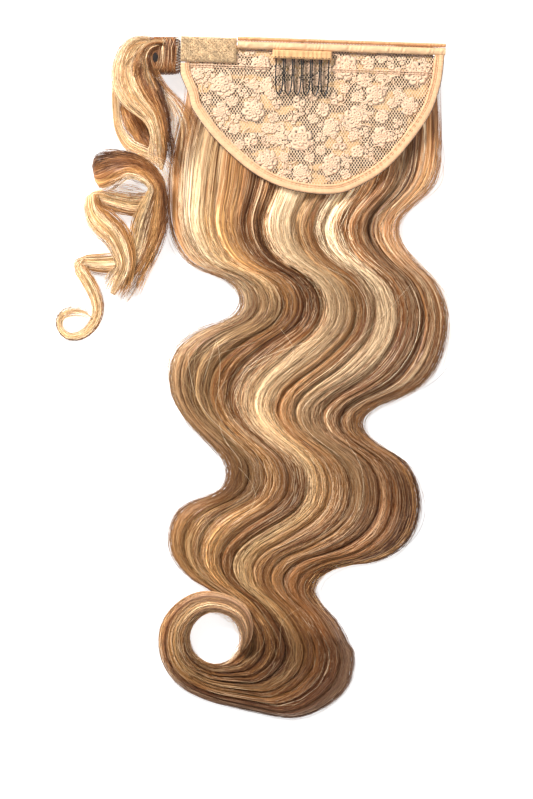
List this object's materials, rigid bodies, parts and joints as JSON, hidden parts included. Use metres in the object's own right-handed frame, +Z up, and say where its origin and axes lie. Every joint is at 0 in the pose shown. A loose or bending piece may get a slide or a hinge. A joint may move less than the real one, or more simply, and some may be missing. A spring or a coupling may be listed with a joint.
{
  "type": "ponytail hairpiece",
  "caption": "Wrap-around ponytail hairpiece: a lace base with a comb and a hook-and-loop patch, long wavy hair ending in a ring curl, and a curled wrap strand.",
  "frame": {"origin": "on the surface that the hairpiece lies on, under the middle of its box", "axes": "+Z up from the surface, +Y from the hair's end towards the base's straight top edge, +X towards the right as seen from above with the lace up"},
  "size_m": [0.2338, 0.4062, 0.0217],
  "materials": {
    "lace": "matte",
    "tape": "matte",
    "band": "satin",
    "hook_and_loop": "matte",
    "sleeve": "matte",
    "comb_wire": "satin",
    "root_hair": "satin",
    "hair": "satin"
  },
  "bodies": {
    "root": {"lace_panel": "lace", "edge_binding": "tape", "top_band": "band", "grip_patch": "hook_and_loop", "comb_sleeve": "sleeve", "wire_comb": "comb_wire", "wrap_tab": "root_hair", "hair_fall": "hair", "wrap_strand": "hair"}
  },
  "joints": []
}
